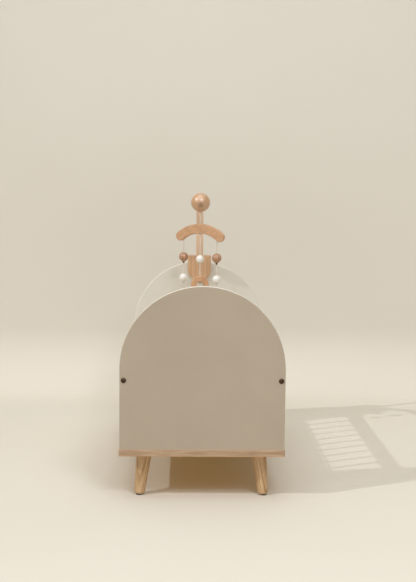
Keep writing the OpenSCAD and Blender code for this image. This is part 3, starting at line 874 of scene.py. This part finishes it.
def evenLoop(loop, step):
    # the same closed line with points at one even distance
    ends = loop[1:] + loop[:1]
    lengths = [math.dist(a, b) for a, b in zip(loop, ends)]
    count = round(sum(lengths) / step)
    even, edge, passed = [], 0, 0.0
    for i in range(count):
        want = sum(lengths) * i / count
        while want > passed + lengths[edge]:
            passed += lengths[edge]
            edge += 1
        part = (want - passed) / lengths[edge]
        even.append(tuple(a + (b - a) * part for a, b in zip(loop[edge], ends[edge])))
    return even


def evaluated(piece):
    return bpy.data.meshes.new_from_object(piece.evaluated_get(bpy.context.evaluated_depsgraph_get()))


def swell(piece, look, held):
    # blow the cover up a little, hold the points that held() picks, and limit how far the rest go
    start = [v.co.copy() for v in piece.data.vertices]
    pins = piece.vertex_groups.new(name="seams")
    pins.add([i for i, p in enumerate(start) if held(p)], 1.0, "REPLACE")
    cloth = piece.modifiers.new("swell", "CLOTH")
    cloth.settings.quality = look["quality"]
    cloth.settings.use_pressure = True
    cloth.settings.uniform_pressure_force = look["pressure"]
    cloth.settings.vertex_group_mass = "seams"
    cloth.settings.effector_weights.gravity = 0
    cloth.point_cache.frame_start = 1
    cloth.point_cache.frame_end = look["frames"]
    for step in range(1, look["frames"] + 1):
        bpy.context.scene.frame_set(step)
    blown = evaluated(piece)
    moved = [v.co.copy() for v in blown.vertices]
    piece.modifiers.clear()
    piece.vertex_groups.clear()
    bpy.data.meshes.remove(blown)
    bpy.context.scene.frame_set(1)
    placed = []
    for before, after in zip(start, moved):
        move = after - before
        placed.extend(before + move.normalized() * look["cap"] * math.tanh(move.length / look["cap"]))
    piece.data.vertices.foreach_set("co", placed)
    piece.data.update()


def makeMattress(look):
    low, high = (Vector(v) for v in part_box("mattress"))
    edge = Vector((look["inset"], look["inset"], 0))
    loop = roundedLoop(low + edge, high - edge, look["corner"] - look["inset"])
    floorZ, topZ, count = low.z, high.z - look["crown"], len(loop)
    points = [(x, y, z) for z in (floorZ, topZ) for x, y in loop]
    faces = [tuple(range(count))[::-1], tuple(range(count, 2 * count))]
    faces += [(i, (i + 1) % count, count + (i + 1) % count, count + i) for i in range(count)]
    block = bpy.data.objects.new("mattressBlock", meshFrom("mattressBlock", points, faces))
    bpy.context.collection.objects.link(block)
    remesh = block.modifiers.new("remesh", "REMESH")
    remesh.mode = "VOXEL"
    remesh.voxel_size = look["voxel"]
    mesh = evaluated(block)
    mesh.name = "sleepingPad"
    bpy.data.objects.remove(block)
    piece = newPiece("sleepingPad", mesh, "mattress", clothCotton, ("mattress",))
    rim = evenLoop(loop, look["rimStep"])
    tree = kdtree.KDTree(len(rim))
    for i, (x, y) in enumerate(rim):
        tree.insert((x, y, 0), i)
    tree.balance()

    def nearRim(p):
        # how far along the rim the nearest point is, and the distance to the nearer seam
        _, index, off = tree.find((p.x, p.y, 0))
        return index * look["rimStep"], math.hypot(off, min(abs(p.z - topZ), abs(p.z - floorZ)))

    def held(p):
        if p.z < floorZ + look["voxel"] * look["heldAboveFloor"]:
            return True
        return nearRim(p)[1] < look["voxel"] * look["heldBySeam"]

    swell(piece, look, held)
    finer = piece.modifiers.new("finer", "SUBSURF")
    finer.levels = finer.render_levels = 1
    fine = evaluated(piece)
    piece.modifiers.clear()
    piece.data = fine
    fine.name = "sleepingPadFine"
    placed = []
    for point, outward in [(v.co.copy(), v.normal.copy()) for v in fine.vertices]:
        along, off = nearRim(point)
        along, away = along / look["gatherEvery"], off / look["gatherOver"]
        fold = noise.noise(Vector((along, away * look["gatherDrift"], look["gatherSeed"])))
        fade = math.exp(-away ** 2) * min(1.0, off / look["gatherFrom"])
        point += outward * look["gather"] * fold * fade
        placed += [point.x, point.y, max(point.z, floorZ)]
    fine.vertices.foreach_set("co", placed)
    fine.update()
    smooth(fine)
    makePiping(look, rim, (floorZ + look["piping"] / 2, topZ - look["pipingDrop"]))


def roundTube(points, radius, sides=10):
    # a closed tube along a closed line
    verts, faces = [], []
    for i, (point, (across, up)) in enumerate(zip(points, sidePairs(points, True))):
        here, following = i * sides, (i + 1) % len(points) * sides
        for j in range(sides):
            a = math.tau * j / sides
            verts.append(point + (across * math.cos(a) + up * math.sin(a)) * radius[i])
            beside = (j + 1) % sides
            faces.append((here + j, following + j, following + beside, here + beside))
    return verts, faces


def makePiping(look, rim, heights):
    verts, faces = [], []
    for height in heights:
        line = [Vector((x, y, height)) for x, y in rim]
        lumps = [look["pipingLumps"] * noise.noise(p * look["lumpsPerMetre"]) for p in line]
        addShape(verts, faces, *roundTube(line, [look["piping"] / 2 * (1 + lump) for lump in lumps]))
    mesh = meshFrom("padPiping", verts, faces)
    newPiece("padPiping", mesh, "mattress", pipingCotton)


makeMattress(bedding)
print("mattress made")


def driveShape(look):
    # angles round the recess, and how far out its edge is at each
    arm, half, crossed = look["arm"], look["width"] / 2, look["crossed"]
    corner = math.atan2(half, arm)
    sector, steps = math.pi / (2 if crossed else 1), look["steps"]
    base = [-corner, -corner / 2, 0, corner / 2, corner]
    base += [corner + (sector - 2 * corner) * i / steps for i in range(1, steps)]

    def reachTo(edge, share):
        return edge / share if share > 1e-6 else 1     # a ray beside an edge never meets it

    shape = []
    for turn in range(round(math.tau / sector)):
        for a in base:
            c, s = abs(math.cos(a)), abs(math.sin(a))
            reach = min(reachTo(arm, c), reachTo(half, s))
            if crossed:
                reach = max(reach, min(reachTo(arm, s), reachTo(half, c)))
            shape.append((a + turn * sector, reach))
    return shape


def turnedHead(profile, drive):
    # rings down into the recess, over the head and along the shank. +Z points out of the head
    shape = driveShape(drive)
    count, verts, faces = len(shape), [Vector((0, 0, -drive["depth"]))], []
    rings = [[(reach * drive["taper"], -drive["depth"]) for _, reach in shape]]
    rings += [[(reach, 0) for _, reach in shape]]
    rings += [[point] * count for point in profile]
    for ring in rings:
        verts += [Vector((r * math.cos(a), r * math.sin(a), z)) for (a, _), (r, z) in zip(shape, ring)]
    faces += [(0, 1 + (i + 1) % count, 1 + i) for i in range(count)]
    for k in range(len(rings) - 1):
        a, b = 1 + k * count, 1 + (k + 1) * count
        faces += [(a + i, a + (i + 1) % count, b + (i + 1) % count, b + i) for i in range(count)]
    faces.append(tuple(1 + (len(rings) - 1) * count + i for i in range(count)))
    return verts, faces


def placeHeads(name, node, body, profile, look, places, outward):
    verts, faces = [], []
    made, joined = turnedHead(profile, look["drive"])
    for place, out, twist in zip(places, outward, look["twists"]):
        turn = Vector(out).to_track_quat("Z", "Y").to_matrix()
        turn = turn @ Matrix.Rotation(math.radians(twist), 3, "Z")
        addShape(verts, faces, [Vector(place) + turn @ v for v in made], joined)
    piece = newPiece(name, meshFrom(name, verts, faces), body, steelMetal, (node,))
    crease = piece.modifiers.new("crisp", "EDGE_SPLIT")
    crease.split_angle = math.radians(look["crease"])


clipScrew = {
    "drive": {"arm": 2.1 * mm, "width": 1.15 * mm, "depth": 1.7 * mm, "taper": 0.62, "crossed": True,
              "steps": 6},
    "shank": 2 * mm,
    "point": 2 * mm,
    "tip": 0.3 * mm,
    "bevel": 0.15 * mm,
    "rim": 0.12 * mm,
    "crease": 35,                # edges sharper than this many degrees stay crisp
    "twists": (17, -28),         # as each happened to be driven home
}


def makeClipScrews(look):
    low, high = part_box("clip_screws")
    reach, head, shank = high[1] - low[1], (high[2] - low[2]) / 2, look["shank"]
    lift = (low[2] + high[2]) / 2
    profile = [(head - look["bevel"], 0), (head, -look["rim"]), (shank, shank - head - look["rim"]),
               (shank, look["point"] - reach), (look["tip"], -reach)]
    places = [(low[0] + head, high[1], lift), (high[0] - head, high[1], lift)]
    placeHeads("clipScrewHeads", "clip_screws", "mobile", profile, look, places, [(0, 1, 0)] * 2)


barrelNut = {
    "drive": {"arm": 3.2 * mm, "width": 1.3 * mm, "depth": 1.4 * mm, "taper": 1.0, "crossed": False,
              "steps": 14},
    "short": 1 * mm,             # how much shorter it is than the rail is thick
    "bevel": 0.4 * mm,
    "crease": 35,
    "twists": (90, 90, 90, 90),
}


def makeBarrelNuts(look):
    low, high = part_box("barrel_nuts")
    r, length, bevel = (high[2] - low[2]) / 2, size("left_side_rail")[0] - look["short"], look["bevel"]
    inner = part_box("left_side_rail")[1][0]
    lift = (low[2] + high[2]) / 2
    profile = [(r - bevel, 0), (r, -bevel), (r, bevel - length), (r - bevel, -length)]
    places = [(x, y, lift) for x in (inner, -inner) for y in (low[1] + r, high[1] - r)]
    outward = [(1, 0, 0)] * 2 + [(-1, 0, 0)] * 2
    placeHeads("barrelNutHeads", "barrel_nuts", "cot", profile, look, places, outward)


makeClipScrews(clipScrew)
makeBarrelNuts(barrelNut)
print("screw heads made")


studio = {
    "floorY": -5.0,
    "wallY": 0.72,
    "curve": 0.16,
    "curveSteps": 16,
    "halfWidth": 4.0,
    "top": 4.5,
    "floor": "dad6cc",
    "wall": "e4dfd5",
    "blendFrom": 1.6,            # the floor's colour gives way this many curves before the wall
    "mottle": "c9bfa9",
    "mottleScale": 2.5,
    "mottleShare": (0.0, 0.05),
    "shader": {"Roughness": 0.9, "Specular_IOR_Level": 0.15},
}


def makeSweep(look):
    # one sheet: floor, a round cove and the wall behind
    profile = [(look["floorY"], 0.0)]
    for i in range(look["curveSteps"] + 1):
        a = math.radians(90 * i / look["curveSteps"])
        profile.append((look["wallY"] - look["curve"] + look["curve"] * math.sin(a),
                        look["curve"] * (1 - math.cos(a))))
    profile.append((look["wallY"], look["top"]))
    points = [(x, y, z) for y, z in profile for x in (-look["halfWidth"], look["halfWidth"])]
    faces = [(2 * i, 2 * i + 1, 2 * i + 3, 2 * i + 2) for i in range(len(profile) - 1)]
    mesh = meshFrom("studioSweep", points, faces)
    smooth(mesh)
    sweep = bpy.data.objects.new("studioSweep", mesh)
    bpy.context.collection.objects.link(sweep)
    material, tree, shader = newMaterial("studioPaper", **look["shader"])
    place = put(tree, "NewGeometry").outputs
    depth = parted(tree, place["Position"])[1]
    rise = span(tree, depth, look["wallY"] - look["curve"] * look["blendFrom"], look["wallY"], 0.0, 1.0)
    colour = blendColours(tree, rise, rgb(look["floor"]), rgb(look["wall"]))
    mottle = grit(tree, place["Position"], look["mottleScale"], 3.0)
    mottle = spread(tree, mottle, look["mottleShare"], hardTones)
    feed(tree, shader.inputs["Base Color"], blendColours(tree, mottle, colour, rgb(look["mottle"])))
    # seen from behind the wall isn't there, so the other views look past it
    clear = put(tree, "BsdfTransparent").outputs[0]
    oneSided = put(tree, "MixShader", {0: place["Backfacing"], 1: shader.outputs[0], 2: clear})
    feed(tree, tree.nodes["Material Output"].inputs["Surface"], oneSided.outputs[0])
    mesh.materials.append(material)


lamps = {
    "topStrip": {"place": (0, -1.5, 2.2), "aim": (0, -0.1, 0.1), "size": (2.7, 0.12), "power": 8.5},
    "frontHigh": {"place": (0.7, -1.9, 2.0), "aim": (0, 0, 0.25), "size": (0.6, 0.4), "power": 12.9},
    "leftMid": {"place": (-1.7, -1.2, 1.5), "aim": (0, -0.1, 0.1), "size": (0.5, 0.5), "power": 5.6},
    "overhead": {"place": (0, -0.1, 2.6), "aim": (0, 0, 0), "size": (1.6, 1.6), "power": 13.5},
    "lowFront": {"place": (0.3, -1.6, 1.2), "aim": (0, 0.29, 0.3), "size": (0.5, 0.5), "power": 2.2},
    "lowCard": {"place": (0, -1.2, 0.05), "aim": (0, -0.29, 0.2), "size": (1.0, 0.15), "power": 1.0},
    # warms the shade under the base
    "underWarmth": {"place": (0, 0, 0.07), "aim": (0, 0, 0), "size": (0.2, 0.5), "power": 0.034,
                    "tint": (1.0, 0.75, 0.2)},
}
lampTint = (0.97, 1.0, 1.05)
lowSun = {"place": (-1, -1, 1), "along": (0.86, 0.43, -0.76), "power": 0.85, "angle": 0.8}


def addLamp(name, data, place, along):
    lamp = bpy.data.objects.new(name, data)
    bpy.context.collection.objects.link(lamp)
    lamp.visible_camera = False
    lamp.location = place
    lamp.rotation_mode = "QUATERNION"
    lamp.rotation_quaternion = along.to_track_quat("-Z", "Y")


def makeLamps():
    for name, look in lamps.items():
        data = bpy.data.lights.new(name, "AREA")
        data.energy = look["power"]
        data.color = look.get("tint", lampTint)
        data.shape = "RECTANGLE"
        data.size, data.size_y = look["size"]
        addLamp(name, data, look["place"], Vector(look["aim"]) - Vector(look["place"]))


def makeSun(look):
    # it draws the crisp edge under the base
    data = bpy.data.lights.new("lowSun", "SUN")
    data.energy = look["power"]
    data.angle = math.radians(look["angle"])
    addLamp("lowSun", data, look["place"], Vector(look["along"]))


skyFill = {
    "zenith": 0.52,
    "fullFrom": 0.8,             # how far up the sky has its full strength
    "tint": (1.1, 0.96, 0.72, 1),
    "seen": "ddd5c4",            # what the camera, mirrors and glass see instead
}


def makeWorld(look):
    # a warm overhead fill that falls off towards the horizon
    world = bpy.data.worlds.new("studioFill")
    world.use_nodes = True
    tree = world.node_tree
    back = tree.nodes["Background"]
    rays = put(tree, "LightPath").outputs
    mirrored = larger(tree, rays["Is Glossy Ray"], rays["Is Transmission Ray"])
    seen = larger(tree, rays["Is Camera Ray"], mirrored)
    height = parted(tree, coords(tree)["Generated"])[2]
    fill = span(tree, height, 0.0, look["fullFrom"], 0.0, look["zenith"])
    feed(tree, back.inputs["Color"], blendColours(tree, seen, look["tint"], rgb(look["seen"])))
    feed(tree, back.inputs["Strength"], larger(tree, fill, seen))
    bpy.context.scene.world = world


makeSweep(studio)
makeLamps()
makeSun(lowSun)
makeWorld(skyFill)
bpy.context.scene.view_settings.view_transform = "Standard"
print("studio lit")
